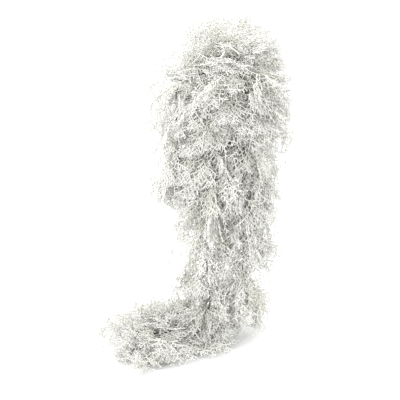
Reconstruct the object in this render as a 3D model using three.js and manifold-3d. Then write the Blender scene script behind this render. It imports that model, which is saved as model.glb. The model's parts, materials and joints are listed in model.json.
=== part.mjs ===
// Artificial trailing moss plant: finely forked soft plastic sprigs on wire-cored stems that
// leave one moulded head. It is held by its neck. Short sprays stand round the neck as a crown,
// eight long branches arch out and hang, and the longest one bends and lies on the floor.
//
// Millimetres, +Z up. The origin is the middle of the neck's cut end, the front faces -Y, and
// azimuths are counted from +X towards +Y. Each tuft is one plain convex drop that takes up the
// room of the sprigs on its stretch of stem.

import * as THREE from 'three';
import { mergeVertices } from 'three/addons/utils/BufferGeometryUtils.js';
import Module from 'manifold-3d';

const wasm = await Module();
wasm.setup();

// ---- driving dimensions -------------------------------------------------------------------

const GAP = 0.4;                 // air between pieces that touch on the real plant

const NECK_LENGTH = 54;          // cut end down to the head
const NECK_RADIUS = 5;
const CORE_RADIUS = 1.5;
const TAPE_LENGTH = 22;
const TAPE_THICKNESS = 1.2;
const TAPE_BOTTOM = -46;         // clear of the crown's stems as they bend

const HEAD_Z = -70;              // centre of the moulded head
const HEAD_RADIUS = 13;
const NUB_RADIUS = 2.7;

const PIVOT_RADIUS = 22;         // head centre to the point where a stem bends
const BALL_RADIUS = 2.4;         // the stem's thick root
const STEM_RADIUS = 2;
const STEM_SIDES = 6;
const STEM_STEP = 17;            // length of one facet along a stem
const STUB_RADIUS = 1.3;
const STUB_LENGTH = 8;           // stem axis to the stub's tip

const DROP_SIDES = 8;
const DROP_RINGS = 6;
const SOCKET_SHARE = 0.05;       // of a drop's length, cut off flat at its socket

const UP = new THREE.Vector3(0, 0, 1);

// A hanging branch: azimuth, reach of its arch, height of the arch, depth of its stem's end
// below the head, sway of the hanging stretch, then its tufts.
// A tuft on a stem: share of the stem's length, turn from straight outward, lean from straight
// down, length, half width and half thickness. A lean near 90 points outward from the arch.
const HANGING = {
  right_outer: {
    azimuth: -8, reach: 72, arch: 40, depth: 300, sway: 5, phase: 0.4,
    tufts: {
      shoulder: { share: 0.15, turn: 10, lean: 80, length: 86, wide: 28, thick: 15 },
      upper: { share: 0.33, turn: 28, lean: 20, length: 128, wide: 27, thick: 15 },
      lower: { share: 0.66, turn: -22, lean: 20, length: 134, wide: 28, thick: 15 },
    },
    end: { length: 116, wide: 26, thick: 20 },
  },
  right_back: {
    azimuth: 40, reach: 78, arch: 42, depth: 250, sway: 5, phase: 2.0,
    tufts: {
      shoulder: { share: 0.17, turn: 0, lean: 80, length: 64, wide: 28, thick: 15 },
      upper: { share: 0.38, turn: -20, lean: 20, length: 118, wide: 26, thick: 15 },
      lower: { share: 0.76, turn: 14, lean: 20, length: 126, wide: 27, thick: 15 },
    },
    end: { length: 104, wide: 26, thick: 20 },
  },
  back: {
    azimuth: 90, reach: 66, arch: 36, depth: 350, sway: 5, phase: 3.6,
    tufts: {
      shoulder: { share: 0.14, turn: 0, lean: 80, length: 66, wide: 28, thick: 15 },
      upper: { share: 0.34, turn: 10, lean: 20, length: 132, wide: 28, thick: 15 },
      lower: { share: 0.66, turn: -10, lean: 20, length: 136, wide: 28, thick: 15 },
    },
    end: { length: 112, wide: 26, thick: 20 },
  },
  left_back: {
    azimuth: 138, reach: 80, arch: 42, depth: 300, sway: 5, phase: 5.1,
    tufts: {
      shoulder: { share: 0.16, turn: 0, lean: 80, length: 64, wide: 28, thick: 15 },
      upper: { share: 0.36, turn: 18, lean: 20, length: 124, wide: 26, thick: 15 },
      lower: { share: 0.7, turn: -16, lean: 20, length: 130, wide: 27, thick: 15 },
    },
    end: { length: 112, wide: 26, thick: 20 },
  },
  left_outer: {
    azimuth: 184, reach: 116, arch: 46, depth: 236, sway: 5, phase: 1.2,
    tufts: {
      shoulder: { share: 0.2, turn: 0, lean: 87, length: 80, wide: 30, thick: 15 },
      upper: { share: 0.42, turn: -26, lean: 20, length: 118, wide: 27, thick: 15 },
      lower: { share: 0.76, turn: 24, lean: 20, length: 122, wide: 28, thick: 15 },
    },
    end: { length: 108, wide: 27, thick: 20 },
  },
  longest: {
    azimuth: 229, reach: 64, arch: 38, depth: 530, sway: 6, phase: 4.2,
    tufts: {
      shoulder: { share: 0.11, turn: 0, lean: 78, length: 70, wide: 27, thick: 15 },
      upper: { share: 0.25, turn: 12, lean: 20, length: 128, wide: 26, thick: 15 },
      middle: { share: 0.5, turn: -14, lean: 20, length: 130, wide: 28, thick: 15 },
      lower: { share: 0.74, turn: 14, lean: 20, length: 118, wide: 30, thick: 15 },
    },
  },
  front: {
    azimuth: 270, reach: 56, arch: 34, depth: 240, sway: 5, phase: 0.2,
    tufts: {
      shoulder: { share: 0.16, turn: 0, lean: 76, length: 70, wide: 27, thick: 15 },
      upper: { share: 0.4, turn: -8, lean: 20, length: 128, wide: 27, thick: 15 },
      lower: { share: 0.8, turn: 8, lean: 20, length: 130, wide: 28, thick: 15 },
    },
    end: { length: 116, wide: 26, thick: 18 },
  },
  front_right: {
    azimuth: 312, reach: 60, arch: 36, depth: 520, sway: 6, phase: 2.9,
    tufts: {
      shoulder: { share: 0.1, turn: 0, lean: 78, length: 70, wide: 27, thick: 15 },
      upper: { share: 0.24, turn: -10, lean: 20, length: 128, wide: 26, thick: 15 },
      middle: { share: 0.5, turn: 12, lean: 20, length: 132, wide: 28, thick: 15 },
      lower: { share: 0.76, turn: -6, lean: 22, length: 128, wide: 32, thick: 16 },
    },
    end: { length: 106, wide: 34, thick: 24 },
  },
};

// A crown spray: azimuth, elevation, length of its stem and the drop at its end.
const CROWN = {
  crown_right: { azimuth: 14, elevation: 46, stem: 34, length: 74, wide: 28, thick: 17 },
  crown_back: { azimuth: 86, elevation: 54, stem: 34, length: 78, wide: 28, thick: 17 },
  crown_left: { azimuth: 158, elevation: 56, stem: 34, length: 82, wide: 28, thick: 17 },
  crown_front_left: { azimuth: 231, elevation: 60, stem: 34, length: 80, wide: 26, thick: 16 },
  crown_front_right: { azimuth: 302, elevation: 54, stem: 34, length: 74, wide: 27, thick: 16 },
};

// The stretch of the longest branch past its bend: it comes down in a quarter turn and runs
// along the floor. Its tufts' leans are counted from the way it runs, and they lie flat.
const TAIL = {
  azimuth: 206, bend: 58, run: 140, sway: 7, phase: 0.8,
  tufts: {
    front_near: { share: 0.34, turn: 1, lean: 74, length: 164, wide: 36, thick: 30 },
    front_far: { share: 0.68, turn: 1, lean: 62, length: 142, wide: 36, thick: 30 },
    back: { share: 0.6, turn: -1, lean: 66, length: 92, wide: 38, thick: 32 },
  },
  end: { length: 92, wide: 30, thick: 29 },
};

// ---- paint --------------------------------------------------------------------------------

const finish = (color, roughness, metalness = 0) =>
  new THREE.MeshStandardMaterial({ color, roughness, metalness });
const SPRIG_FINISH = { color: 0xd3d6ca, roughness: 0.72 };
const STEM_FINISH = { color: 0x5d605a, roughness: 0.6 };
const HEAD_FINISH = { color: 0x6a6d64, roughness: 0.55 };
const TAPE_FINISH = { color: 0x7d8471, roughness: 0.85 };
const CORE_FINISH = { color: 0x8d9094, roughness: 0.35, metalness: 0.9 };

// ---- solids -------------------------------------------------------------------------------

const plant = new THREE.Group();

function addNode(name, geometry, look) {
  const mesh = new THREE.Mesh(geometry, finish(look.color, look.roughness, look.metalness));
  mesh.name = name;
  plant.add(mesh);
}

function solidOf(geometry) {
  const bare = geometry.clone();
  bare.deleteAttribute('normal');
  bare.deleteAttribute('uv');
  const merged = mergeVertices(bare);
  return new wasm.Manifold(new wasm.Mesh({
    numProp: 3,
    vertProperties: new Float32Array(merged.attributes.position.array),
    triVerts: new Uint32Array(merged.index.array),
  }));
}

function geometryOf(solid) {
  const mesh = solid.getMesh();
  const geometry = new THREE.BufferGeometry();
  geometry.setAttribute('position', new THREE.BufferAttribute(mesh.vertProperties, 3));
  geometry.setIndex(new THREE.BufferAttribute(mesh.triVerts, 1));
  geometry.computeVertexNormals();
  return geometry;
}

const join = (geometries) => geometryOf(
  geometries.map(solidOf).reduce((whole, piece) => whole.add(piece)));

// Horizontal unit vector at an azimuth, and a direction at an azimuth and an elevation.
function outward(azimuth) {
  const angle = THREE.MathUtils.degToRad(azimuth);
  return new THREE.Vector3(Math.cos(angle), Math.sin(angle), 0);
}

function heading(azimuth, elevation) {
  const angle = THREE.MathUtils.degToRad(elevation);
  return outward(azimuth).multiplyScalar(Math.cos(angle)).addScaledVector(UP, Math.sin(angle));
}

// A straight round bar from one point towards another.
function bar(from, to, radius, sides) {
  const along = to.clone().sub(from);
  const geometry = new THREE.CylinderGeometry(radius, radius, along.length(), sides);
  const turn = new THREE.Quaternion().setFromUnitVectors(
    new THREE.Vector3(0, 1, 0), along.clone().normalize());
  const middle = from.clone().add(to).multiplyScalar(0.5);
  return geometry.applyQuaternion(turn).translate(middle.x, middle.y, middle.z);
}

function tube(curve, radius) {
  const section = new THREE.Shape().absarc(0, 0, radius, 0, 2 * Math.PI);
  return new THREE.ExtrudeGeometry(section, {
    steps: Math.round(curve.getLength() / STEM_STEP),
    curveSegments: STEM_SIDES / 2,
    bevelEnabled: false,
    extrudePath: curve,
  });
}

// A flattened convex drop: half an ellipse turned round its long axis, cut flat at the socket
// and scaled to its width and thickness. It runs from mouth along way, and side is the
// direction of its width.
function drop(mouth, way, side, { length, wide, thick }) {
  const profile = [new THREE.Vector2(0, 0)];
  for (let ring = 0; ring < DROP_RINGS; ring += 1) {
    const share = SOCKET_SHARE + (1 - SOCKET_SHARE) * (ring / DROP_RINGS) ** 1.15;
    const down = (share - SOCKET_SHARE) / (1 - SOCKET_SHARE);
    profile.push(new THREE.Vector2(Math.sqrt(1 - (1 - 2 * share) ** 2), -down * length));
  }
  profile.push(new THREE.Vector2(0, -length));
  const geometry = new THREE.LatheGeometry(profile.reverse(), DROP_SIDES);
  geometry.scale(wide, 1, thick);
  const back = way.clone().negate();
  const face = new THREE.Vector3().crossVectors(side, back);
  geometry.applyMatrix4(new THREE.Matrix4().makeBasis(side, back, face).setPosition(mouth));
  return geometryOf(solidOf(geometry));
}

// ---- neck and head ------------------------------------------------------------------------

function ring(inner, outer, top, bottom, sides) {
  const profile = [[inner, bottom], [outer, bottom], [outer, top], [inner, top], [inner, bottom]];
  const geometry = new THREE.LatheGeometry(profile.map(([r, z]) => new THREE.Vector2(r, z)), sides);
  return geometry.rotateX(Math.PI / 2);
}

addNode('neck_core_wire', bar(
  new THREE.Vector3(0, 0, -0.5), new THREE.Vector3(0, 0, -NECK_LENGTH), CORE_RADIUS, 10,
), CORE_FINISH);
addNode('neck_sleeve', ring(CORE_RADIUS + GAP, NECK_RADIUS, 0, -NECK_LENGTH, 16), STEM_FINISH);
addNode('binding_tape', ring(
  NECK_RADIUS + GAP, NECK_RADIUS + GAP + TAPE_THICKNESS,
  TAPE_BOTTOM + TAPE_LENGTH, TAPE_BOTTOM, 16,
), TAPE_FINISH);

const headCentre = new THREE.Vector3(0, 0, HEAD_Z);
const pivotAt = (direction) => headCentre.clone().addScaledVector(direction, PIVOT_RADIUS);

// The head: a ball with a collar under the neck and one nub in front of each stem's root.
function head(directions) {
  const ball = new THREE.SphereGeometry(HEAD_RADIUS, 16, 12).rotateX(Math.PI / 2);
  ball.translate(0, 0, HEAD_Z);
  const collar = bar(
    new THREE.Vector3(0, 0, -NECK_LENGTH - GAP), headCentre, NECK_RADIUS + 1.5, 16);
  const nubs = directions.map((direction) => bar(
    headCentre.clone().addScaledVector(direction, HEAD_RADIUS / 2),
    headCentre.clone().addScaledVector(direction, PIVOT_RADIUS - BALL_RADIUS - GAP),
    NUB_RADIUS, 8));
  return join([ball, collar, ...nubs]);
}

addNode('bush_head', head([
  ...Object.values(HANGING).map((branch) => outward(branch.azimuth)),
  ...Object.values(CROWN).map((spray) => heading(spray.azimuth, spray.elevation)),
]), HEAD_FINISH);

// ---- stems and tufts ----------------------------------------------------------------------

// A quarter of an ellipse from straight outward to straight down, then a hanging stretch. The
// sway grows from nothing at the root and moves the stem sideways and a little in and out.
class HangingCurve extends THREE.Curve {
  constructor(branch) {
    super();
    this.branch = branch;
    this.root = pivotAt(outward(branch.azimuth));
    this.archShare = branch.arch * 1.6 / branch.depth;
  }

  getPoint(t, target = new THREE.Vector3()) {
    const { azimuth, reach, arch, depth, sway, phase } = this.branch;
    const bent = Math.min(1, t / this.archShare) * Math.PI / 2;
    const hung = Math.max(0, (t - this.archShare) / (1 - this.archShare));
    const grown = sway * Math.sin(bent) * t;
    const out = (reach - PIVOT_RADIUS) * Math.sin(bent) + 0.5 * grown * Math.cos(11 * t + phase);
    const down = arch * (1 - Math.cos(bent)) + (depth - arch) * hung;
    return target.copy(this.root)
      .addScaledVector(outward(azimuth), out)
      .addScaledVector(outward(azimuth + 90), grown * Math.sin(9 * t + phase))
      .addScaledVector(UP, -down);
  }
}

// Straight down turning to level in a quarter circle, then a run along the floor with a sway.
class TailCurve extends THREE.Curve {
  constructor(root) {
    super();
    this.root = root;
  }

  getPoint(t, target = new THREE.Vector3()) {
    const { azimuth, bend, run, sway, phase } = TAIL;
    const bendShare = bend * 1.5 / (bend * 1.5 + run);
    const bent = Math.min(1, t / bendShare) * Math.PI / 2;
    const gone = Math.max(0, (t - bendShare) / (1 - bendShare));
    const aside = sway * gone * Math.sin(5 * gone + phase);
    return target.copy(this.root)
      .addScaledVector(outward(azimuth), bend * (1 - Math.cos(bent)) + run * gone)
      .addScaledVector(outward(azimuth + 90), aside)
      .addScaledVector(UP, -bend * Math.sin(bent));
  }
}

const rootBall = (centre) => {
  const ball = new THREE.SphereGeometry(BALL_RADIUS, 10, 7);
  return ball.translate(centre.x, centre.y, centre.z);
};

// The stub that a sprig's socket is pushed on to, and the socket's mouth past its tip.
function stub(curve, share, direction, way) {
  const from = curve.getPointAt(share);
  const tip = from.clone().addScaledVector(direction, STUB_LENGTH);
  const mouth = tip.clone().addScaledVector(way, STUB_RADIUS + GAP);
  return { mouth, solid: bar(from, tip, STUB_RADIUS, 6) };
}

function endDrop(curve, side, shape) {
  const way = curve.getTangentAt(1);
  const across = side.clone().addScaledVector(way, -side.dot(way)).normalize();
  return drop(curve.getPointAt(1).addScaledVector(way, GAP), way, across, shape);
}

// A tuft on an upright stretch leaves its stub sideways and leans down. One on the arch
// stands on the arch's back and points outward.
function hangingBranch(name, branch) {
  const curve = new HangingCurve(branch);
  const solids = [tube(curve, STEM_RADIUS), rootBall(curve.root)];
  for (const [place, tuft] of Object.entries(branch.tufts)) {
    const out = outward(branch.azimuth + tuft.turn);
    const lean = THREE.MathUtils.degToRad(tuft.lean);
    const way = out.clone().multiplyScalar(Math.sin(lean)).addScaledVector(UP, -Math.cos(lean));
    const tangent = curve.getTangentAt(tuft.share);
    const direction = out.clone().addScaledVector(tangent, -out.dot(tangent)).normalize();
    const { mouth, solid } = stub(curve, tuft.share, direction, way);
    solids.push(solid);
    addNode(`${name}_${place}_tuft`, drop(
      mouth, way, new THREE.Vector3().crossVectors(UP, out), tuft), SPRIG_FINISH);
  }
  if (branch.end) {
    addNode(`${name}_end_tuft`, endDrop(curve, outward(branch.azimuth + 90), branch.end),
      SPRIG_FINISH);
  }
  addNode(`${name}_stem`, join(solids), STEM_FINISH);
  return curve;
}

function crownSpray(name, spray) {
  const way = heading(spray.azimuth, spray.elevation);
  const root = pivotAt(way);
  const curve = new THREE.LineCurve3(root, root.clone().addScaledVector(way, spray.stem));
  addNode(`${name}_tuft`, endDrop(curve, outward(spray.azimuth + 90), spray), SPRIG_FINISH);
  addNode(`${name}_stem`, join([
    bar(curve.v1, curve.v2, STEM_RADIUS, STEM_SIDES), rootBall(root)]), STEM_FINISH);
}

function tail(branchEnd) {
  const root = branchEnd.clone().addScaledVector(UP, -BALL_RADIUS - GAP);
  const curve = new TailCurve(root);
  const solids = [tube(curve, STEM_RADIUS), rootBall(root)];
  for (const [place, tuft] of Object.entries(TAIL.tufts)) {
    const along = curve.getTangentAt(tuft.share);
    const aside = new THREE.Vector3().crossVectors(UP, along).normalize()
      .multiplyScalar(tuft.turn);
    const lean = THREE.MathUtils.degToRad(tuft.lean);
    const way = outward(TAIL.azimuth).multiplyScalar(Math.cos(lean))
      .addScaledVector(aside, Math.sin(lean)).setZ(0).normalize();
    const { mouth, solid } = stub(curve, tuft.share, aside, way);
    solids.push(solid);
    addNode(`tail_${place}_tuft`, drop(
      mouth, way, new THREE.Vector3().crossVectors(UP, way), tuft), SPRIG_FINISH);
  }
  addNode('tail_end_tuft', endDrop(curve, outward(TAIL.azimuth + 90), TAIL.end), SPRIG_FINISH);
  addNode('tail_stem', join(solids), STEM_FINISH);
}

const curves = {};
for (const [name, branch] of Object.entries(HANGING)) {
  curves[name] = hangingBranch(name, branch);
}
for (const [name, spray] of Object.entries(CROWN)) {
  crownSpray(name, spray);
}
tail(curves.longest.getPointAt(1));

export default plant;
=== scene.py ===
"""Artificial trailing moss plant, held by its neck over a pale floor.

One moulded head carries five crown sprays and eight hanging branches. A branch is a dark
wire-cored stem with short shoots, and each shoot ends in a few pale sprigs. A sprig is grown
by forking: every twig ends in two new twigs, some of which fork again. The longest branch
bends above the floor and its tail lies on it.

Metres, +Z up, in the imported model's own frame. Azimuths are counted from +X towards +Y.
"""

import json
import logging
import math
from dataclasses import dataclass, field
from enum import Enum

import bpy
import numpy as np
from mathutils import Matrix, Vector


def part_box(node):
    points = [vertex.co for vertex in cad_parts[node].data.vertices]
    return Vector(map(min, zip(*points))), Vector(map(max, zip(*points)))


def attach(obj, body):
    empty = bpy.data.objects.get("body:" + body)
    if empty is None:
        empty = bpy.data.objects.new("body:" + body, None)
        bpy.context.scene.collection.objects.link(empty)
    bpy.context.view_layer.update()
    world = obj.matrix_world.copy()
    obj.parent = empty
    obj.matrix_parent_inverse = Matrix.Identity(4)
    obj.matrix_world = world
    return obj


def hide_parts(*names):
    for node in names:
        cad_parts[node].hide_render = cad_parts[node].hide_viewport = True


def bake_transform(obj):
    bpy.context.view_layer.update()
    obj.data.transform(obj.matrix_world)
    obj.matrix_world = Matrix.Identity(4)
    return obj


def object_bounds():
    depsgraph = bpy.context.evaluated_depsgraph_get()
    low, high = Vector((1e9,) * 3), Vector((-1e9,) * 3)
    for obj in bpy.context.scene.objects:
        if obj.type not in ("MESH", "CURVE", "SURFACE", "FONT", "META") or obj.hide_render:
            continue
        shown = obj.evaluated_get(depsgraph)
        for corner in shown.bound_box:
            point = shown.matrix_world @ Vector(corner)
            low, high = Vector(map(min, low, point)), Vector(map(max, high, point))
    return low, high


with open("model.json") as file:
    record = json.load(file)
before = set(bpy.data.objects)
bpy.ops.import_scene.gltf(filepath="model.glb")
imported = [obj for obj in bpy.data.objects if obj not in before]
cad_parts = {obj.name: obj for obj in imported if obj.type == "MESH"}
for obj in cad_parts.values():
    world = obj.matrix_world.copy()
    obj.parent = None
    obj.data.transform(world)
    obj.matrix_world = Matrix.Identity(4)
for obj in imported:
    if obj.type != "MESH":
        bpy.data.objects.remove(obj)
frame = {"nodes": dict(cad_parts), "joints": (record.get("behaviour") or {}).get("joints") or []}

LOG = logging.getLogger("moss_plant")
CAD_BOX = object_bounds()
UP = np.array([0.0, 0.0, 1.0])
GOLDEN_TURN = math.radians(137.508)
GOLDEN_SHARE = 0.618034


# ---- vectors ------------------------------------------------------------------------------


def unit(vectors: np.ndarray) -> np.ndarray:
    """Vectors scaled to length 1 along the last axis."""
    return vectors / np.maximum(np.linalg.norm(vectors, axis=-1, keepdims=True), 1e-12)


def square_to(vectors: np.ndarray, ways: np.ndarray) -> np.ndarray:
    """The part of each vector that stands square to its way, at length 1."""
    return unit(vectors - np.sum(vectors * ways, axis=-1, keepdims=True) * ways)


def turned(vectors: np.ndarray, axes: np.ndarray, angles: np.ndarray) -> np.ndarray:
    """Vectors turned about unit axes: v cos a + (n x v) sin a + n (n . v)(1 - cos a).

    Args:
        vectors: the vectors, one a row.
        axes: the unit axes n, one a row.
        angles: the angles a in radians, one a row.

    Returns:
        The turned vectors.
    """
    cosine, sine = np.cos(angles)[:, None], np.sin(angles)[:, None]
    along = np.sum(axes * vectors, axis=1, keepdims=True)
    return vectors * cosine + np.cross(axes, vectors) * sine + axes * along * (1 - cosine)


def outward(azimuth: float) -> np.ndarray:
    """The level unit vector at an azimuth in radians."""
    return np.array([math.cos(azimuth), math.sin(azimuth), 0.0])


# ---- meshes -------------------------------------------------------------------------------


def mesh_object(
    name: str, points: np.ndarray, quads: np.ndarray, **values: np.ndarray
) -> bpy.types.Object:
    """A smooth mesh object of quads, with float attributes on its points.

    Args:
        name: the piece's name.
        points: the points, one a row.
        quads: four point numbers a row, counted anticlockwise from outside.
        values: an attribute's name to its value at each point.

    Returns:
        The object, linked to the scene.
    """
    mesh = bpy.data.meshes.new(name)
    mesh.vertices.add(len(points))
    mesh.vertices.foreach_set("co", points.astype(np.float32).ravel())
    mesh.loops.add(quads.size)
    mesh.loops.foreach_set("vertex_index", quads.astype(np.int32).ravel())
    mesh.polygons.add(len(quads))
    mesh.polygons.foreach_set("loop_start", np.arange(0, quads.size, 4, dtype=np.int32))
    mesh.polygons.foreach_set("use_smooth", np.ones(len(quads), dtype=bool))
    for key, value in values.items():
        attribute = mesh.attributes.new(key, "FLOAT", "POINT")
        attribute.data.foreach_set("value", value.astype(np.float32))
    mesh.update(calc_edges=True)
    piece = bpy.data.objects.new(name, mesh)
    bpy.context.scene.collection.objects.link(piece)
    return piece


@dataclass
class TwigBundle:
    """Straight tapered twigs, gathered group by group and then meshed at once."""

    SIDES = 4
    OVERLAP = 0.5

    starts: list[np.ndarray] = field(default_factory=list)
    ends: list[np.ndarray] = field(default_factory=list)
    start_radii: list[np.ndarray] = field(default_factory=list)
    end_radii: list[np.ndarray] = field(default_factory=list)
    start_fades: list[np.ndarray] = field(default_factory=list)
    end_fades: list[np.ndarray] = field(default_factory=list)
    tones: list[np.ndarray] = field(default_factory=list)

    def add(
        self,
        starts: np.ndarray,
        ends: np.ndarray,
        radii: tuple[float, float],
        fades: tuple[float, float],
        tones: np.ndarray,
    ) -> None:
        """Adds twigs that share their radii and fades.

        Args:
            starts: where the twigs start, one a row.
            ends: where they end, one a row.
            radii: their radius at the start and at the end.
            fades: how far along its sprig a twig starts and ends, from 0 to 1.
            tones: each twig's own tone, from 0 to 1.
        """
        count = len(starts)
        self.starts.append(starts)
        self.ends.append(ends)
        self.start_radii.append(np.full(count, radii[0]))
        self.end_radii.append(np.full(count, radii[1]))
        self.start_fades.append(np.full(count, fades[0]))
        self.end_fades.append(np.full(count, fades[1]))
        self.tones.append(tones)

    def piece(self, name: str) -> bpy.types.Object:
        """Meshes the twigs, each a four-sided prism closed at both ends.

        Ring point k of an end is centre + radius (cos(90 k) across + sin(90 k) upright), with
        k quarter turns counted in degrees. A twig's first ring is set back by a share of its
        radius, so that the twig starts inside the one before it.

        Args:
            name: the piece's name.

        Returns:
            The mesh object.
        """
        starts, ends = np.vstack(self.starts), np.vstack(self.ends)
        ways = unit(ends - starts)
        level = np.where(np.abs(ways[:, 2:3]) > 0.9, np.array([[1.0, 0.0, 0.0]]), UP)
        across = square_to(level, ways)
        upright = np.cross(ways, across)
        angles = np.arange(self.SIDES) * 2 * math.pi / self.SIDES
        ring = (
            np.cos(angles)[None, :, None] * across[:, None]
            + np.sin(angles)[None, :, None] * upright[:, None]
        )
        start_radii = np.concatenate(self.start_radii)[:, None, None]
        end_radii = np.concatenate(self.end_radii)[:, None, None]
        set_back = ways[:, None] * start_radii * self.OVERLAP
        first = starts[:, None] + ring * start_radii - set_back
        last = ends[:, None] + ring * end_radii
        points = np.stack([first, last], axis=1).reshape(-1, 3)
        here = np.arange(self.SIDES)
        after = (here + 1) % self.SIDES
        walls = np.stack([here, after, after + self.SIDES, here + self.SIDES], axis=1)
        caps = np.array([here[::-1], here + self.SIDES])
        pattern = np.vstack([walls, caps])
        quads = pattern[None] + (np.arange(len(starts)) * 2 * self.SIDES)[:, None, None]
        fades = np.stack(
            [np.concatenate(self.start_fades), np.concatenate(self.end_fades)], axis=1
        )
        return mesh_object(
            name,
            points,
            quads.reshape(-1, 4),
            fade=np.repeat(fades.ravel(), self.SIDES),
            tone=np.repeat(np.concatenate(self.tones), 2 * self.SIDES),
        )


def open_tube(
    path: np.ndarray, radii: np.ndarray, side: np.ndarray, sides: int
) -> tuple[np.ndarray, np.ndarray]:
    """Points and quads of a round tube that is open at both ends, carried along a path.

    The ring point at an angle a is centre + radius (cos(a) across + sin(a) square), where
    across is the given side laid square to the path.

    Args:
        path: the centreline, one point a row.
        radii: the radius at each point.
        side: a vector that is never along the path.
        sides: how many points a ring has.

    Returns:
        The points and the quads.
    """
    ways = unit(np.gradient(path, axis=0))
    across = square_to(np.broadcast_to(side, path.shape), ways)
    square = np.cross(ways, across)
    angles = np.arange(sides) * 2 * math.pi / sides
    rings = path[:, None] + radii[:, None, None] * (
        np.cos(angles)[None, :, None] * across[:, None]
        + np.sin(angles)[None, :, None] * square[:, None]
    )
    points = rings.reshape(-1, 3)
    here = np.arange(sides)
    after = (here + 1) % sides
    band = np.stack([here, after, after + sides, here + sides], axis=1)
    quads = (band[None] + (np.arange(len(path) - 1) * sides)[:, None, None]).reshape(-1, 4)
    return points, quads


TIP_REACH = 0.5
TIP_RADIUS_SHARE = 0.45


def closed_tube(
    path: np.ndarray, radii: np.ndarray, side: np.ndarray, sides: int = 10
) -> tuple[np.ndarray, np.ndarray]:
    """A tube whose two ends are drawn in to a smaller ring and shut with a lid of quads.

    Args:
        path: the centreline, one point a row.
        radii: the radius at each point.
        side: a vector that is never along the path.
        sides: how many points a ring has, an even number.

    Returns:
        The points and the quads, the lids' last.
    """
    ways = unit(np.gradient(path, axis=0))
    first_tip = path[0] - ways[0] * radii[0] * TIP_REACH
    last_tip = path[-1] + ways[-1] * radii[-1] * TIP_REACH
    path = np.vstack([first_tip, path, last_tip])
    drawn_in = radii[[0, -1]] * TIP_RADIUS_SHARE
    radii = np.concatenate([drawn_in[:1], radii, drawn_in[1:]])
    points, quads = open_tube(path, radii, side, sides)
    half = sides // 2
    near = np.arange(half - 1)
    lid = np.stack([near, near + 1, sides - 2 - near, sides - 1 - near], axis=1)
    last = len(points) - sides
    return points, np.vstack([quads, lid[:, ::-1], lid + last])


def joined(parts: list) -> tuple[np.ndarray, np.ndarray]:
    """Several (points, quads) pairs as one pair."""
    points, quads, count = [], [], 0
    for part_points, part_quads in parts:
        points.append(part_points)
        quads.append(part_quads + count)
        count += len(part_points)
    return np.vstack(points), np.vstack(quads)


# ---- finishes -----------------------------------------------------------------------------


class Finish:
    """A node material under construction: a few steps that every finish shares."""

    def __init__(self, name: str, roughness: float) -> None:
        """Starts a material with a Principled shader.

        Args:
            name: the material's name.
            roughness: the shader's own roughness.
        """
        self.material = bpy.data.materials.new(name)
        self.material.use_nodes = True
        self.nodes = self.material.node_tree.nodes
        self.links = self.material.node_tree.links
        self.shader = self.nodes["Principled BSDF"]
        self.shader.inputs["Roughness"].default_value = roughness
        self.place = self.nodes.new("ShaderNodeTexCoord").outputs["Object"]

    def noise(self, scale: float, detail: float = 3.0, stretch: Vector | None = None):
        """A noise value over the piece's own place.

        Args:
            scale: how many lumps there are to a metre.
            detail: how many finer layers it has.
            stretch: scale along each axis, where the lumps aren't round.

        Returns:
            The output socket.
        """
        node = self.nodes.new("ShaderNodeTexNoise")
        node.inputs["Scale"].default_value = scale
        node.inputs["Detail"].default_value = detail
        source = self.place
        if stretch is not None:
            mapping = self.nodes.new("ShaderNodeMapping")
            mapping.inputs["Scale"].default_value = stretch
            self.links.new(source, mapping.inputs["Vector"])
            source = mapping.outputs["Vector"]
        self.links.new(source, node.inputs["Vector"])
        return node.outputs["Fac"]

    def attribute(self, name: str):
        """The output socket of a float attribute on the points."""
        node = self.nodes.new("ShaderNodeAttribute")
        node.attribute_name = name
        return node.outputs["Fac"]

    def ramp(self, source, stops: list[tuple[float, tuple[float, float, float]]]):
        """Colours by a value.

        Args:
            source: the value's socket.
            stops: each colour's place from 0 to 1 and its linear colour.

        Returns:
            The colour socket.
        """
        node = self.nodes.new("ShaderNodeValToRGB")
        elements = node.color_ramp.elements
        while len(elements) < len(stops):
            elements.new(0.5)
        for element, (place, colour) in zip(elements, stops):
            element.position = place
            element.color = (*colour, 1.0)
        self.links.new(source, node.inputs["Fac"])
        return node.outputs["Color"]

    def mix(self, share, first, second, blend: str = "MIX"):
        """Two colours mixed.

        Args:
            share: the second's share, a number or a socket.
            first: the first colour's socket.
            second: the second colour's socket, or a linear colour.
            blend: the blend type.

        Returns:
            The colour socket.
        """
        node = self.nodes.new("ShaderNodeMix")
        node.data_type = "RGBA"
        node.blend_type = blend
        if isinstance(share, float):
            node.inputs["Factor"].default_value = share
        else:
            self.links.new(share, node.inputs["Factor"])
        self.links.new(first, node.inputs["A"])
        if isinstance(second, tuple):
            node.inputs["B"].default_value = (*second, 1.0)
        else:
            self.links.new(second, node.inputs["B"])
        return node.outputs["Result"]

    def spread(self, source, low: float, high: float):
        """A value from 0 to 1 laid out between two others."""
        node = self.nodes.new("ShaderNodeMapRange")
        node.inputs["To Min"].default_value = low
        node.inputs["To Max"].default_value = high
        self.links.new(source, node.inputs["Value"])
        return node.outputs["Result"]

    def bump(self, source, depth: float, strength: float) -> None:
        """Raises the surface by a value.

        Args:
            source: the height's socket, from 0 to 1.
            depth: the height of 1, in metres.
            strength: how strongly it shows.
        """
        node = self.nodes.new("ShaderNodeBump")
        node.inputs["Distance"].default_value = depth
        node.inputs["Strength"].default_value = strength
        self.links.new(source, node.inputs["Height"])
        self.links.new(node.outputs["Normal"], self.shader.inputs["Normal"])

    def coloured(self, colour, roughness=None) -> bpy.types.Material:
        """Wires the colour and the roughness in and returns the material."""
        self.links.new(colour, self.shader.inputs["Base Color"])
        if roughness is not None:
            self.links.new(roughness, self.shader.inputs["Roughness"])
        return self.material


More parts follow.
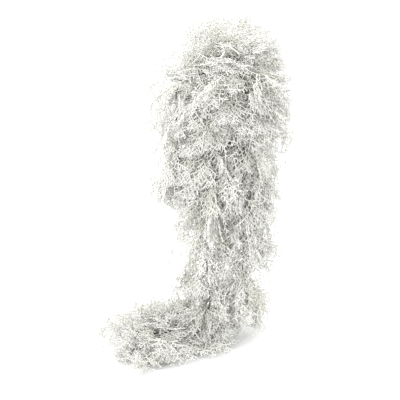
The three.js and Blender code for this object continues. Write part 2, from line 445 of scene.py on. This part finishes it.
@dataclass(frozen=True)
class SprigPlastic:
    """Soft off-white plastic with a breath of green, darkened towards a sprig's base as painted
    shade from the plant's crowded inside.
    """

    # base: painted shade, each sprig darkened where it crowds the stem inside the plant
    base: tuple[float, float, float] = (0.46, 0.46, 0.41)
    middle: tuple[float, float, float] = (0.90, 0.885, 0.845)
    tip: tuple[float, float, float] = (0.76, 0.755, 0.735)
    straw: tuple[float, float, float] = (0.78, 0.765, 0.63)

    def material(self) -> bpy.types.Material:
        """Builds the node material."""
        finish = Finish("sprig_plastic", 0.62)
        # The fade ramp carries painted shade: dark at a sprig's base, brightest a third of the
        # way along.
        along = finish.ramp(
            finish.attribute("fade"), [(0.0, self.base), (0.3, self.middle), (1.0, self.tip)]
        )
        dyed = finish.mix(finish.spread(finish.attribute("tone"), 0.0, 0.4), along, self.straw)
        cloud = finish.ramp(
            finish.noise(34.0, 3.0), [(0.3, (0.86, 0.87, 0.86)), (0.7, (1.0, 1.0, 1.0))]
        )
        mottled = finish.mix(1.0, dyed, cloud, "MULTIPLY")
        finish.bump(finish.noise(1400.0, 2.0), 0.0003, 0.35)
        return finish.coloured(mottled, finish.spread(finish.noise(420.0), 0.5, 0.72))


@dataclass(frozen=True)
class StemPlastic:
    """Dark grey-green plastic moulded over wire, ribbed along the stem like bark."""

    dark: tuple[float, float, float] = (0.10, 0.105, 0.092)
    light: tuple[float, float, float] = (0.26, 0.265, 0.235)

    def material(self) -> bpy.types.Material:
        """Builds the node material."""
        finish = Finish("stem_plastic", 0.55)
        ribs = finish.noise(900.0, 4.0, Vector((1.0, 1.0, 0.12)))
        colour = finish.ramp(ribs, [(0.25, self.dark), (0.75, self.light)])
        finish.bump(ribs, 0.0006, 0.6)
        return finish.coloured(colour, finish.spread(finish.noise(300.0), 0.42, 0.7))


@dataclass(frozen=True)
class HeadPlastic:
    """The head's moulded plastic, a little lighter than the stems and faintly grained."""

    dark: tuple[float, float, float] = (0.10, 0.11, 0.09)
    light: tuple[float, float, float] = (0.19, 0.20, 0.17)

    def material(self) -> bpy.types.Material:
        """Builds the node material."""
        finish = Finish("head_plastic", 0.5)
        grain = finish.noise(700.0, 5.0)
        finish.bump(grain, 0.0003, 0.5)
        return finish.coloured(
            finish.ramp(grain, [(0.3, self.dark), (0.7, self.light)]),
            finish.spread(finish.noise(150.0), 0.4, 0.62),
        )


@dataclass(frozen=True)
class CrepeTape:
    """Waxed crepe tape, wound round the neck in slanting, finely crinkled bands."""

    dark: tuple[float, float, float] = (0.13, 0.155, 0.10)
    light: tuple[float, float, float] = (0.26, 0.29, 0.20)
    pitch: float = 0.006

    def material(self) -> bpy.types.Material:
        """Builds the node material."""
        finish = Finish("crepe_tape", 0.8)
        wave = finish.nodes.new("ShaderNodeTexWave")
        wave.bands_direction = "Z"
        wave.inputs["Scale"].default_value = 0.31 / self.pitch
        wave.inputs["Distortion"].default_value = 1.5
        finish.links.new(finish.place, wave.inputs["Vector"])
        crinkle = finish.noise(1100.0, 3.0, Vector((1.0, 1.0, 0.2)))
        colour = finish.ramp(crinkle, [(0.3, self.dark), (0.7, self.light)])
        banded = finish.mix(
            finish.spread(wave.outputs["Fac"], 0.0, 0.4), colour, self.dark
        )
        finish.bump(crinkle, 0.0005, 0.7)
        return finish.coloured(banded, finish.spread(crinkle, 0.65, 0.9))


@dataclass(frozen=True)
class CutWire:
    """Soft steel wire, drawn along its length."""

    dark: tuple[float, float, float] = (0.28, 0.28, 0.29)
    light: tuple[float, float, float] = (0.52, 0.53, 0.55)

    def material(self) -> bpy.types.Material:
        """Builds the node material."""
        finish = Finish("cut_wire", 0.35)
        finish.shader.inputs["Metallic"].default_value = 1.0
        drawn = finish.noise(1500.0, 3.0, Vector((1.0, 1.0, 0.05)))
        finish.bump(drawn, 0.0002, 0.4)
        return finish.coloured(
            finish.ramp(drawn, [(0.3, self.dark), (0.7, self.light)]),
            finish.spread(drawn, 0.28, 0.5),
        )


@dataclass(frozen=True)
class StudioPaper:
    """The seamless white paper that the plant trails on."""

    low: tuple[float, float, float] = (0.90, 0.90, 0.905)
    high: tuple[float, float, float] = (0.93, 0.93, 0.935)

    def material(self) -> bpy.types.Material:
        """Builds the node material."""
        finish = Finish("studio_paper", 0.9)
        return finish.coloured(
            finish.ramp(finish.noise(3.0), [(0.3, self.low), (0.7, self.high)])
        )


# ---- growth -------------------------------------------------------------------------------


@dataclass(frozen=True)
class Room:
    """Where twigs may go: over the floor and inside the plant's own box."""

    low: np.ndarray
    high: np.ndarray
    softness: float = 0.02

    def settled(self, points: np.ndarray, lift: np.ndarray) -> np.ndarray:
        """Points laid back on the floor where they fell through it, and kept in the box.

        A point that is d past the box less its softness s comes to rest at s (1 - e^(-d/s)).

        Args:
            points: the points, one a row.
            lift: how high each lies on what is under it when it is laid down.

        Returns:
            The points, moved where they had to be.
        """
        low, high = self.low + self.softness, self.high - self.softness
        inner = np.clip(points, low, high)
        past = points - inner
        rest = np.sign(past) * self.softness * (1 - np.exp(-np.abs(past) / self.softness))
        placed = inner + rest
        placed[:, 2] = np.maximum(np.minimum(points[:, 2], placed[:, 2]), self.low[2] + lift)
        return placed


@dataclass(frozen=True)
class SprigHabit:
    """How a moulded sprig forks.

    Every twig ends in a fork of two. One of the two forks again, and the other does so with a
    chance of crowding / (forks so far + 1). A twig lies at the fork's angle to its aim, now to
    one side and now to the other, and the two aims of a fork part a little. So the twigs of a
    sprig zigzag out in one plane as a fan of small diamonds, like lace. Lengths and turns vary
    between the two shares given, and a sprig that meets the edge of its room gives way to it.
    """

    forkings: int = 10
    twig: float = 0.0104
    fork: float = math.radians(32.0)
    parting: float = math.radians(10.0)
    crowding: float = 1.3
    base_radius: float = 0.00112
    tip_radius: float = 0.00086
    droop: float = 0.03
    pull: float = 0.16
    wander: float = 0.06
    warp: float = 0.09
    length_shares: tuple[float, float] = (0.75, 1.2)
    turn_shares: tuple[float, float] = (0.6, 1.4)
    lift: tuple[float, float] = (0.0008, 0.026)
    giving_way: float = 0.7
    tone_shape: tuple[float, float] = (1.2, 2.6)

    def grow(
        self,
        bundle: TwigBundle,
        roots: np.ndarray,
        aims: np.ndarray,
        goals: np.ndarray,
        faces: np.ndarray,
        room: Room,
        rng: np.random.Generator,
    ) -> None:
        """Grows one sprig from each root and adds its twigs to the bundle.

        Args:
            bundle: what takes the twigs.
            roots: where the sprigs start, one a row.
            aims: the unit way that each sets out.
            goals: the unit way that each turns to as it grows.
            faces: the normal of each sprig's fan.
            room: where the twigs may go.
            rng: the source of chance.
        """
        tones = rng.beta(*self.tone_shape, len(roots))
        steps = self.forkings + 1
        goes_on = np.ones(len(roots), dtype=bool)
        ways = aims
        for step in range(steps):
            lengths = self.twig * rng.uniform(*self.length_shares, len(roots))
            lifts = rng.uniform(*self.lift, len(roots))
            ends = room.settled(roots + ways * lengths[:, None], lifts)
            aims = unit(aims + self.giving_way * (unit(ends - roots) - ways))
            fades = (step / steps, (step + 1) / steps)
            radii = tuple(
                self.base_radius + (self.tip_radius - self.base_radius) * fade for fade in fades
            )
            bundle.add(roots, ends, radii, fades, tones)
            if step:
                pair = np.arange(len(roots)) // 2
                leads = rng.integers(0, 2, len(roots) // 2)
                is_lead = np.arange(len(roots)) % 2 == leads[pair]
                goes_on = is_lead | (rng.random(len(roots)) < self.crowding / (step + 1))
            kept = np.repeat(np.flatnonzero(goes_on), 2)
            roots, aims, goals = ends[kept], aims[kept], goals[kept]
            faces, tones = faces[kept], tones[kept]
            faces = square_to(faces + self.warp * rng.normal(size=faces.shape), aims)
            turn = rng.uniform(*self.turn_shares, len(roots))
            turn[1::2] *= -1
            aims = unit(
                turned(aims, faces, self.parting * turn)
                + self.pull * goals
                - self.droop * UP
                + self.wander * rng.normal(size=aims.shape)
            )
            ways = turned(aims, square_to(faces, aims), self.fork * turn)


def cone(ways: np.ndarray, spread: float, rng: np.random.Generator) -> np.ndarray:
    """Each way tipped to a random side, mostly by less than the spread, in radians."""
    deviation = 0.6
    return unit(ways + math.tan(spread) * deviation * rng.normal(size=ways.shape))


def spaced(low: float, high: float, count: int) -> np.ndarray:
    """The middles of a count of equal steps from low to high."""
    return low + (high - low) * (np.arange(count) + 0.5) / count


# ---- the plant ----------------------------------------------------------------------------


class Place(Enum):
    """Where on its stem a tuft grows."""

    SHOULDER = "shoulder"
    UPPER = "upper"
    MIDDLE = "middle"
    LOWER = "lower"
    END = "end"


def bend_of(name: str) -> tuple[np.ndarray, float]:
    """A stem's pivot and azimuth, read from its packed joint.

    The joint's axis is level, and a quarter turn behind the way that the stem bends out to.

    Args:
        name: the stem's name.

    Returns:
        The pivot in metres and the azimuth in radians.
    """
    joint = next(joint for joint in frame["joints"] if joint["name"] == f"{name}_bend")
    return np.array(joint["pos_m"]), math.atan2(joint["axis"][0], -joint["axis"][1])


@dataclass(frozen=True)
class Wardrobe:
    """The plant's materials, built once."""

    sprig: bpy.types.Material
    stem: bpy.types.Material
    head: bpy.types.Material
    tape: bpy.types.Material
    core: bpy.types.Material


@dataclass
class Stem:
    """A stem's centreline and the shoots on it."""

    path: np.ndarray
    side: np.ndarray
    root_radius: float = 0.0023
    tip_radius: float = 0.0014
    shoot_radius: float = 0.0011

    KNOT = 0.14
    KNOT_SPACING = 0.022
    SAG = 0.24
    SHOOT_STATIONS = 5
    SHOOT_SIDES = 6

    def __post_init__(self) -> None:
        """Measures the path, so that it can be read by length."""
        steps = np.linalg.norm(np.diff(self.path, axis=0), axis=1)
        self.lengths = np.concatenate([[0.0], np.cumsum(steps)])
        self.length = float(self.lengths[-1])
        self.ways = unit(np.gradient(self.path, axis=0))
        self.shoots: list[tuple[np.ndarray, np.ndarray]] = []

    def at(self, shares: np.ndarray) -> tuple[np.ndarray, np.ndarray]:
        """Points and ways at shares of the stem's length."""
        places = shares * self.length
        point = [np.interp(places, self.lengths, self.path[:, k]) for k in range(3)]
        way = [np.interp(places, self.lengths, self.ways[:, k]) for k in range(3)]
        return np.stack(point, axis=1), unit(np.stack(way, axis=1))

    def add_shoots(self, starts: np.ndarray, ends: np.ndarray) -> None:
        """Notes side shoots by their two ends, to be meshed with the stem."""
        self.shoots.append((starts, ends))

    def piece(self, name: str) -> bpy.types.Object:
        """Meshes the stem with a slight swelling every few centimetres, and its shoots.

        The radius runs from the root's to the tip's, times 1 + 0.14 (cos x)^8 for the
        swellings, where x grows by half a turn every 2.2 cm. A shoot is bowed upward: at a
        share t of its length it stands 0.24 t (1 - t) of that length over a straight line.

        Args:
            name: the piece's name.

        Returns:
            The mesh object.
        """
        share = self.lengths / self.length
        swelling = 1 + self.KNOT * np.cos(self.lengths * math.pi / self.KNOT_SPACING) ** 8
        radii = (self.root_radius + (self.tip_radius - self.root_radius) * share) * swelling
        parts = [closed_tube(self.path, radii, self.side)]
        stations = np.linspace(0.0, 1.0, self.SHOOT_STATIONS)[:, None]
        shoot_radii = self.shoot_radius * np.linspace(1.1, 0.9, self.SHOOT_STATIONS)
        for starts, ends in self.shoots:
            for start, end in zip(starts, ends):
                way = end - start
                bow = np.linalg.norm(way) * self.SAG * UP
                path = start + way * stations + bow * stations * (1 - stations)
                aslant = UP + 0.3 * way[[1, 2, 0]]
                side = unit(np.cross(way, aslant))
                parts.append(closed_tube(path, shoot_radii, side, self.SHOOT_SIDES))
        points, quads = joined(parts)
        return mesh_object(name, points, quads)


@dataclass
class Foliage:
    """Shared growth of shoots and sprigs along a stem."""

    habit: SprigHabit
    room: Room
    rng: np.random.Generator

    TO_OUTSIDE = 0.3
    FIRST_STAGGER = 0.1
    STAGGER_POWER = 1.3
    FACING = (0.75, 0.5)
    SHOOT_LIFT = 0.004
    OPENING = math.radians(30.0)
    OWN_WAY = 0.5
    SHOOT_WAY = 0.2
    FACE_NOISE = 0.4

    def dress(
        self,
        stem: Stem,
        bundle: TwigBundle,
        shares: np.ndarray,
        outside: np.ndarray,
        lean: float,
        hang: float,
        first_turn: float,
        sprigs: int = 2,
        reach: tuple[float, float] = (0.010, 0.028),
        flat: float | np.ndarray = 0.0,
    ) -> None:
        """Grows shoots round a stem, a golden turn apart, and a few sprigs on each.

        A shoot's length is the shortest plus the range times three shares. The first is the
        fraction part of 0.1 + 0.618 k, for shoot k, to the power 1.3. The second falls from 1
        for a level shoot to 0 for one that rises by 30 degrees. The third is 0.75 + 0.5 cos of
        its turn from the outside, from 0 to 1.

        Args:
            stem: the stem.
            bundle: what takes the twigs.
            shares: where along the stem the shoots leave it.
            outside: the way that is out of the plant, which shoots lean to.
            lean: angle between a shoot and the stem's own way, in radians.
            hang: how strongly the sprigs turn down.
            first_turn: the first shoot's turn round the stem.
            sprigs: how many sprigs a shoot has.
            reach: the shortest and the longest shoot.
            flat: how much of its rise each shoot loses, from 0 to 1.
        """
        points, ways = stem.at(shares)
        across = square_to(np.broadcast_to(outside + UP, ways.shape), ways)
        square = np.cross(ways, across)
        turns = first_turn + GOLDEN_TURN * np.arange(len(shares))
        radial = np.cos(turns)[:, None] * across + np.sin(turns)[:, None] * square
        radial = unit(radial + self.TO_OUTSIDE * across)
        radial = unit(radial - (flat * radial[:, 2])[:, None] * UP)
        heading = unit(math.sin(lean) * radial + math.cos(lean) * ways)
        stagger = (self.FIRST_STAGGER + np.arange(len(shares)) * GOLDEN_SHARE)[:, None] % 1
        low_lying = np.clip(1 - 2 * heading[:, 2:3], 0, 1)
        facing_out = np.clip(self.FACING[0] + self.FACING[1] * np.cos(turns)[:, None], 0, 1)
        spread = reach[1] - reach[0]
        lengths = reach[0] + spread * stagger**self.STAGGER_POWER * low_lying * facing_out
        lifts = np.full(len(shares), self.SHOOT_LIFT)
        tips = self.room.settled(points + heading * lengths, lifts)
        stem.add_shoots(points, tips)
        roots = np.repeat(tips, sprigs, axis=0)
        base = np.repeat(heading, sprigs, axis=0)
        sprig_ways = cone(base, self.OPENING, self.rng)
        goals = unit(self.OWN_WAY * sprig_ways + self.SHOOT_WAY * base - hang * UP)
        noise = self.FACE_NOISE * self.rng.normal(size=base.shape)
        faces = square_to(np.repeat(across, sprigs, axis=0) + noise, sprig_ways)
        self.habit.grow(bundle, roots, sprig_ways, goals, faces, self.room, self.rng)

    def burst(
        self,
        bundle: TwigBundle,
        tip: np.ndarray,
        way: np.ndarray,
        count: int,
        opening: float,
        hang: float,
    ) -> None:
        """Grows sprigs straight on from a stem's tip, in a cone round its way.

        Args:
            bundle: what takes the twigs.
            tip: the stem's last point, as one row.
            way: its way there, as one row.
            count: how many sprigs there are.
            opening: the cone's half angle, in radians.
            hang: how strongly the sprigs turn down.
        """
        roots = np.repeat(tip, count, axis=0)
        ways = cone(np.repeat(way, count, axis=0), opening, self.rng)
        faces = square_to(self.rng.normal(size=ways.shape), ways)
        goals = unit(ways - hang * UP)
        self.habit.grow(bundle, roots, ways, goals, faces, self.room, self.rng)


@dataclass
class HangingBranch:
    """One arching, hanging branch: its stem, its root sleeve and a tuft for each stretch.

    Reach, arch, depth, sway and phase shape the stem's path. The tufts map each place to the
    share of the stem's length where its tuft leaves the stem.
    """

    name: str
    reach: float
    arch: float
    depth: float
    sway: float
    phase: float
    tufts: dict[Place, float]
    spacing: float = 0.016
    lean: float = math.radians(36.0)
    hang: float = 1.3
    shoulder_lean: float = math.radians(58.0)
    shoulder_hang: float = 0.55
    sprigs: int = 2

    STATIONS = 90
    FIRST_SHARE = 0.02
    PAST_HALFWAY = 0.04
    SHOULDER_SPACING = 0.65
    END_SPRIGS = 4
    END_HANG = 0.4

    def __post_init__(self) -> None:
        """Reads the branch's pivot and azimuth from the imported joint."""
        self.pivot, azimuth = bend_of(self.name)
        self.out = outward(azimuth)
        self.aside = outward(azimuth + math.pi / 2)
        self.body = f"{self.name}_branch"

    def path(self) -> np.ndarray:
        """The stem's centreline: a quarter ellipse outward and down, then a swaying hang.

        The arch takes 1.6 arch / depth of the stem's share. On it, out is reach sin(bent) and
        down is arch (1 - cos(bent)), and past it the rest of the depth at an even pace. The
        sway grows along the stem, sideways by a sine and half as much in and out by a cosine.
        """
        start = float(np.hypot(*self.pivot[:2]))
        share = np.linspace(0.0, 1.0, self.STATIONS)
        arch_share = self.arch * 1.6 / self.depth
        bent = np.minimum(1, share / arch_share) * math.pi / 2
        hung = np.maximum(0, (share - arch_share) / (1 - arch_share))
        grown = self.sway * np.sin(bent) * share
        out = (self.reach - start) * np.sin(bent) + 0.5 * grown * np.cos(11 * share + self.phase)
        down = self.arch * (1 - np.cos(bent)) + (self.depth - self.arch) * hung
        across = grown * np.sin(9 * share + self.phase)
        return (
            self.pivot
            + out[:, None] * self.out
            + across[:, None] * self.aside
            - down[:, None] * UP
        )

    def stretches(self) -> dict[Place, tuple[float, float]]:
        """The share of the stem that each tuft covers, split a little past halfway."""
        shares = list(self.tufts.values())
        splits = [(a + b) / 2 + self.PAST_HALFWAY for a, b in zip(shares, shares[1:])]
        edges = [self.FIRST_SHARE, *splits, 1.0]
        return dict(zip(self.tufts, zip(edges, edges[1:])))

    def build(self, foliage: Foliage, wardrobe: Wardrobe) -> None:
        """Builds and dresses the branch.

        Args:
            foliage: grows its sprigs.
            wardrobe: the materials.
        """
        stem = Stem(self.path(), self.aside)
        turn = self.phase
        for place, (low, high) in self.stretches().items():
            bundle = TwigBundle()
            spacing, lean, hang = self.spacing, self.lean, self.hang
            if place is Place.SHOULDER:
                spacing *= self.SHOULDER_SPACING
                lean, hang = self.shoulder_lean, self.shoulder_hang
            count = max(2, round((high - low) * stem.length / spacing))
            foliage.dress(
                stem, bundle, spaced(low, high, count), self.out, lean, hang, turn,
                self.sprigs)
            if place is Place.END:
                foliage.burst(
                    bundle, stem.path[-1:], stem.ways[-1:], self.END_SPRIGS,
                    foliage.OPENING, self.END_HANG)
            turn += GOLDEN_TURN * count
            dressed(
                bundle.piece(f"{self.name}_{place.value}_sprigs"),
                wardrobe.sprig, self.body, f"{self.name}_{place.value}_tuft")
        dressed(
            stem.piece(f"{self.name}_wired_stem"),
            wardrobe.stem, self.body, f"{self.name}_stem")
        root_sleeve(self.name, self.pivot, self.out, self.aside, "head", self.body, wardrobe)


@dataclass(frozen=True)
class Stretch:
    """A stretch of the tail's stem: its two shares, and how its shoots leave it.

    Outside is the way that the shoots lean to. Lean is their angle to the stem's own way, and
    reach the shortest and the longest of them.
    """

    low: float
    high: float
    outside: np.ndarray
    lean: float
    reach: tuple[float, float]


@dataclass
class Tail:
    """The longest branch's last stretch, which bends above the floor and lies on it."""

    bend: float = 0.058
    run: float = 0.140
    sway: float = 0.007
    phase: float = 0.8
    spacing: float = 0.0105

    STATIONS = 70
    ROOT_RADIUS = 0.0019
    HANG = 0.45
    SPRIGS = 3
    FLATNESS = (0.15, 0.5)

    def __post_init__(self) -> None:
        """Reads the tail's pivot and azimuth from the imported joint."""
        self.pivot, azimuth = bend_of("tail")
        self.out = outward(azimuth)
        self.aside = outward(azimuth + math.pi / 2)

    def path(self) -> np.ndarray:
        """A quarter circle from straight down to level, then a level run with a sway.

        The quarter circle takes 1.5 bend / (1.5 bend + run) of the share. On it, out is
        bend (1 - cos(bent)) and down is bend sin(bent).
        """
        share = np.linspace(0.0, 1.0, self.STATIONS)
        bend_share = self.bend * 1.5 / (self.bend * 1.5 + self.run)
        bent = np.minimum(1, share / bend_share) * math.pi / 2
        gone = np.maximum(0, (share - bend_share) / (1 - bend_share))
        across = self.sway * gone * np.sin(5 * gone + self.phase)
        out = self.bend * (1 - np.cos(bent)) + self.run * gone
        down = self.bend * np.sin(bent)
        return (
            self.pivot
            + out[:, None] * self.out
            + across[:, None] * self.aside
            - down[:, None] * UP
        )

    def build(self, foliage: Foliage, wardrobe: Wardrobe) -> None:
        """Builds and dresses the tail.

        Args:
            foliage: grows its sprigs.
            wardrobe: the materials.
        """
        stem = Stem(self.path(), self.aside, root_radius=self.ROOT_RADIUS)
        for place, stretch in self.stretches().items():
            bundle = TwigBundle()
            share = stretch.high - stretch.low
            count = max(4, round(share * stem.length / self.spacing))
            shares = spaced(stretch.low, stretch.high, count)
            foliage.dress(
                stem, bundle, shares, stretch.outside, stretch.lean, self.HANG, self.phase,
                self.SPRIGS, stretch.reach, self.FLATNESS[0] + self.FLATNESS[1] * shares)
            dressed(
                bundle.piece(f"tail_{place}_sprigs"),
                wardrobe.sprig, "tail", f"tail_{place}_tuft")
        dressed(stem.piece("tail_wired_stem"), wardrobe.stem, "tail", "tail_stem")
        root_sleeve("tail", self.pivot, -UP, self.aside, "longest_branch", "tail", wardrobe)

    def stretches(self) -> dict[str, Stretch]:
        """The stretches by their names. The front is the side that aside points to."""
        sideways, square, forward = (math.radians(angle) for angle in (64.0, 85.0, 56.0))
        return {
            "front_near": Stretch(0.05, 0.50, self.aside, sideways, (0.010, 0.18)),
            "back": Stretch(0.0, 0.85, self.out - self.aside, square, (0.006, 0.04)),
            "front_far": Stretch(0.50, 0.95, self.aside, sideways, (0.016, 0.20)),
            "end": Stretch(0.75, 1.0, self.out + 0.5 * self.aside, forward, (0.006, 0.08)),
        }


@dataclass
class CrownSpray:
    """One short spray that stands by the neck, its shoots leaning a little to the front."""

    name: str
    stem_length: float = 0.034
    root_radius: float = 0.0021
    shoots: int = 6
    sprigs: int = 9
    forward: float = 0.8
    lean: float = math.radians(75.0)
    hang: float = 0.7
    reach: tuple[float, float] = (0.010, 0.020)
    opening: float = math.radians(42.0)
    top_hang: float = 0.3

    STATIONS = 24
    FRONT = -math.pi / 2

    def __post_init__(self) -> None:
        """Reads the spray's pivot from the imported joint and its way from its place."""
        self.pivot, self.azimuth = bend_of(self.name)
        low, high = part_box(f"{self.name}_tuft")
        self.way = unit(np.array((low + high) / 2) - self.pivot)
        self.aside = outward(self.azimuth + math.pi / 2)
        self.body = f"{self.name}_spray"

    def build(self, foliage: Foliage, wardrobe: Wardrobe) -> None:
        """Builds and dresses the spray.

        Args:
            foliage: grows its sprigs.
            wardrobe: the materials.
        """
        share = np.linspace(0.0, 1.0, self.STATIONS)[:, None]
        path = self.pivot + self.way * self.stem_length * share
        stem = Stem(path, self.aside, self.root_radius)
        bundle = TwigBundle()
        outside = outward(self.azimuth) + self.forward * outward(self.FRONT)
        foliage.dress(
            stem, bundle, np.linspace(0.1, 0.95, self.shoots), outside, self.lean, self.hang,
            self.azimuth, reach=self.reach)
        foliage.burst(
            bundle, path[-1:], self.way[None], self.sprigs, self.opening, self.top_hang)
        dressed(
            bundle.piece(f"{self.name}_sprigs"),
            wardrobe.sprig, self.body, f"{self.name}_tuft")
        dressed(
            stem.piece(f"{self.name}_wired_stem"),
            wardrobe.stem, self.body, f"{self.name}_stem")
        root_sleeve(self.name, self.pivot, self.way, self.aside, "head", self.body, wardrobe)


def dressed(
    piece: bpy.types.Object, material: bpy.types.Material, body: str, node: str
) -> None:
    """Gives a piece its material, slot and body, and lets it stand for a CAD node.

    Args:
        piece: the piece.
        material: its material.
        body: the body that it rides on.
        node: the CAD node that it replaces.
    """
    piece.data.materials.append(material)
    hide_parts(node)
    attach(piece, body)
    LOG.info("%s: %d faces on %s", piece.name, len(piece.data.polygons), body)


def root_sleeve(
    name: str,
    pivot: np.ndarray,
    way: np.ndarray,
    side: np.ndarray,
    parent: str,
    child: str,
    wardrobe: Wardrobe,
) -> None:
    """A soft sleeve over the place where a stem bends.

    It starts 7 mm before the bend and ends 11 mm past it. Its radius is 2.5 mm, swelling to
    3.1 mm in the middle by a half sine.

    Args:
        name: the branch's name.
        pivot: where the stem bends.
        way: the unit way from the parent to the child.
        side: a level vector square to the way.
        parent: the body before the joint.
        child: the body after the joint.
        wardrobe: the materials.
    """
    before, length, radius, swelling = 0.007, 0.018, 0.0025, 0.0006
    share = np.linspace(0.0, 1.0, 17)
    path = pivot + way * (share[:, None] * length - before)
    radii = radius + swelling * np.sin(math.pi * share)
    piece = mesh_object(f"{name}_root_sleeve", *closed_tube(path, radii, side, sides=12))
    piece.data.materials.append(wardrobe.stem)
    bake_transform(piece)
    LOG.info("%s bends between %s and %s", piece.name, parent, child)


@dataclass
class Studio:
    """A white floor, soft light from above and the left, and the camera."""

    aim: tuple[float, float, float] = (-0.062, 0.0, -0.369)
    distance: float = 1.7
    elevation: float = math.radians(15.0)
    view_height: float = 0.946
    sensor: float = 36.0
    air_strength: float = 1.12
    floor_half: float = 30.0

    def build(self, floor_level: float) -> None:
        """Builds the studio.

        Args:
            floor_level: the height of the floor.
        """
        self.add_camera()
        self.add_floor(floor_level)
        self.add_light("key", (-1.6, -1.7, 1.5), 1.8, 52.0)
        self.add_light("fill", (1.9, -1.4, 0.9), 2.2, 14.0)
        self.add_light("top", (0.0, 0.3, 2.2), 2.6, 34.0)
        world = bpy.data.worlds.new("studio_air")
        world.use_nodes = True
        air = world.node_tree.nodes["Background"]
        air.inputs["Color"].default_value = (1.0, 1.0, 1.0, 1.0)
        air.inputs["Strength"].default_value = self.air_strength
        bpy.context.scene.world = world
        bpy.context.scene.view_settings.view_transform = "Standard"

    def add_camera(self) -> None:
        """Adds the camera, in front and a little above, aimed at the plant's middle."""
        data = bpy.data.cameras.new("camera")
        data.sensor_width = self.sensor
        data.lens = self.sensor * self.distance / self.view_height
        camera = bpy.data.objects.new("camera", data)
        aim = Vector(self.aim)
        back = Vector((0.0, -math.cos(self.elevation), math.sin(self.elevation)))
        camera.location = aim + back * self.distance
        camera.rotation_euler = (-back).to_track_quat("-Z", "Y").to_euler()
        bpy.context.scene.collection.objects.link(camera)
        bpy.context.scene.camera = camera

    def add_floor(self, level: float) -> None:
        """Adds the floor, a wide sheet of paper."""
        half = self.floor_half
        points = np.array([
            [-half, -half, level], [half, -half, level],
            [half, half, level], [-half, half, level]])
        floor = mesh_object("floor", points, np.array([[0, 1, 2, 3]]))
        floor.data.materials.append(StudioPaper().material())

    def add_light(
        self, name: str, place: tuple[float, float, float], size: float, power: float
    ) -> None:
        """Adds a square soft light aimed at the plant's middle.

        Args:
            name: the light's name.
            place: where it stands, from the plant's middle.
            size: its side.
            power: its power in watts.
        """
        data = bpy.data.lights.new(name, "AREA")
        data.size, data.energy = size, power
        light = bpy.data.objects.new(name, data)
        aim = Vector(self.aim)
        light.location = aim + Vector(place)
        light.rotation_euler = (-Vector(place)).to_track_quat("-Z", "Y").to_euler()
        bpy.context.scene.collection.objects.link(light)


def dress_head(wardrobe: Wardrobe) -> None:
    """Gives the neck's and the head's CAD nodes their materials."""
    looks = {
        "bush_head": wardrobe.head,
        "neck_sleeve": wardrobe.stem,
        "binding_tape": wardrobe.tape,
        "neck_core_wire": wardrobe.core,
    }
    for name, material in looks.items():
        node = frame["nodes"][name]
        node.data.materials.clear()
        node.data.materials.append(material)
        LOG.info("%s keeps its CAD mesh", name)


def short_tufts(*shares: float) -> dict[Place, float]:
    """The tufts of a branch that has no middle one, at their shares of the stem."""
    return dict(zip((Place.SHOULDER, Place.UPPER, Place.LOWER, Place.END), shares))


def hanging_branches() -> list[HangingBranch]:
    """The eight hanging branches, counted round the head, with the two long ones fuller."""
    longest_tufts = {
        Place.SHOULDER: 0.11, Place.UPPER: 0.25, Place.MIDDLE: 0.50, Place.LOWER: 0.74}
    front_right_tufts = {
        Place.SHOULDER: 0.10, Place.UPPER: 0.24, Place.MIDDLE: 0.50, Place.LOWER: 0.76,
        Place.END: 1.0}
    return [
        HangingBranch("right_outer", 0.072, 0.040, 0.300, 0.005, 0.4,
                      short_tufts(0.15, 0.33, 0.66, 1.0)),
        HangingBranch("right_back", 0.078, 0.042, 0.250, 0.005, 2.0,
                      short_tufts(0.17, 0.38, 0.76, 1.0)),
        HangingBranch("back", 0.066, 0.036, 0.350, 0.005, 3.6,
                      short_tufts(0.14, 0.34, 0.66, 1.0)),
        HangingBranch("left_back", 0.080, 0.042, 0.300, 0.005, 5.1,
                      short_tufts(0.16, 0.36, 0.70, 1.0)),
        HangingBranch("left_outer", 0.116, 0.046, 0.236, 0.005, 1.2,
                      short_tufts(0.20, 0.42, 0.76, 1.0)),
        HangingBranch("longest", 0.064, 0.038, 0.530, 0.006, 4.2, longest_tufts,
                      spacing=0.0125, lean=math.radians(50.0), hang=0.9, sprigs=3),
        HangingBranch("front", 0.056, 0.034, 0.240, 0.005, 0.2,
                      short_tufts(0.16, 0.40, 0.80, 1.0)),
        HangingBranch("front_right", 0.060, 0.036, 0.520, 0.006, 2.9, front_right_tufts,
                      spacing=0.0125, lean=math.radians(42.0), hang=1.1, sprigs=3),
    ]


def rooms() -> tuple[Room, Room]:
    """The room of the whole plant, and a narrower, softer one for the hanging branches."""
    low, high = (np.array(corner) for corner in CAD_BOX)
    whole = Room(low + np.array([-0.022, -0.020, 0.0008]), high + 0.015)
    column = Room(
        np.array([-0.205, low[1], whole.low[2]]),
        np.array([0.172, high[1] + 0.019, whole.high[2]]),
        softness=0.04,
    )
    return whole, column


def main() -> None:
    """Builds the studio, then the head, the branches, the tail and the crown."""
    logging.basicConfig(level=logging.INFO, format="%(message)s")
    Studio().build(CAD_BOX[0][2])
    wardrobe = Wardrobe(
        sprig=SprigPlastic().material(),
        stem=StemPlastic().material(),
        head=HeadPlastic().material(),
        tape=CrepeTape().material(),
        core=CutWire().material(),
    )
    dress_head(wardrobe)
    whole, column = rooms()
    hanging = Foliage(SprigHabit(), column, np.random.default_rng(20))
    for branch in hanging_branches():
        branch.build(hanging, wardrobe)
    low_habit = SprigHabit(twig=0.0092, wander=0.1)
    Tail().build(Foliage(low_habit, whole, np.random.default_rng(33)), wardrobe)
    airy_habit = SprigHabit(forkings=8, twig=0.0112, crowding=1.15)
    upright = Foliage(airy_habit, whole, np.random.default_rng(41))
    for name in ("right", "back", "left", "front_left", "front_right"):
        CrownSpray(f"crown_{name}").build(upright, wardrobe)


if __name__ == "__main__":
    main()
